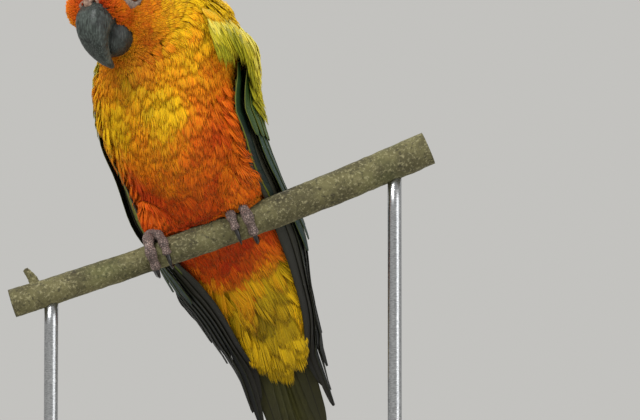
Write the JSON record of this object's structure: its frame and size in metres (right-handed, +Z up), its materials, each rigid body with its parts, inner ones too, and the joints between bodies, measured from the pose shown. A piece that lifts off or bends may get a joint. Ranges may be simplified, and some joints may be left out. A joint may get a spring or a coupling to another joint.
{
  "type": "sun conure perched on a display stand",
  "caption": "Life-size still model of a small orange and yellow parrot gripping a cut branch, held over a flat base by steel rods.",
  "frame": {"origin": "on the underside of the base, below the point of the branch midway between the bird's feet", "axes": "+Z up, -Y towards the viewer and the bird's breast, +X to the bird's left along the branch's rise"},
  "size_m": [0.168, 0.1236, 0.284],
  "materials": {
    "plumage_head": "soft feathers, red-orange face and yellow crown",
    "plumage_neck": "soft feathers, golden yellow with orange",
    "plumage_breast": "soft feathers, deep orange",
    "plumage_rump": "soft feathers, olive yellow",
    "plumage_wing": "feathers, yellow coverts, green and blue-black flight feathers",
    "plumage_tail": "long feathers, dusky olive below, green and blue above",
    "plumage_leg": "soft feathers, orange",
    "bill": "horn, grey-black with a dull sheen",
    "eye": "wet dark eye",
    "foot_skin": "scaly skin, pinkish grey",
    "claw": "horn, black, glossy",
    "bark": "thin grey-brown bark",
    "base_wood": "dark stained wood, satin",
    "rod_steel": "satin steel"
  },
  "bodies": {
    "root": {"head": "plumage_head", "neck": "plumage_neck", "torso": "plumage_breast", "rump": "plumage_rump", "tail": "plumage_tail", "bill_upper": "bill", "bill_lower": "bill", "perch": "bark", "stand_base": "base_wood", "stand_rod_left": "rod_steel", "stand_rod_right": "rod_steel", "eye_left": "eye", "wing_left": "plumage_wing", "leg_left": "plumage_leg", "foot_left": "foot_skin", "claw_left_inner_front": "claw", "claw_left_outer_front": "claw", "claw_left_inner_back": "claw", "claw_left_outer_back": "claw", "eye_right": "eye", "wing_right": "plumage_wing", "leg_right": "plumage_leg", "foot_right": "foot_skin", "claw_right_inner_front": "claw", "claw_right_outer_front": "claw", "claw_right_inner_back": "claw", "claw_right_outer_back": "claw"}
  },
  "joints": []
}
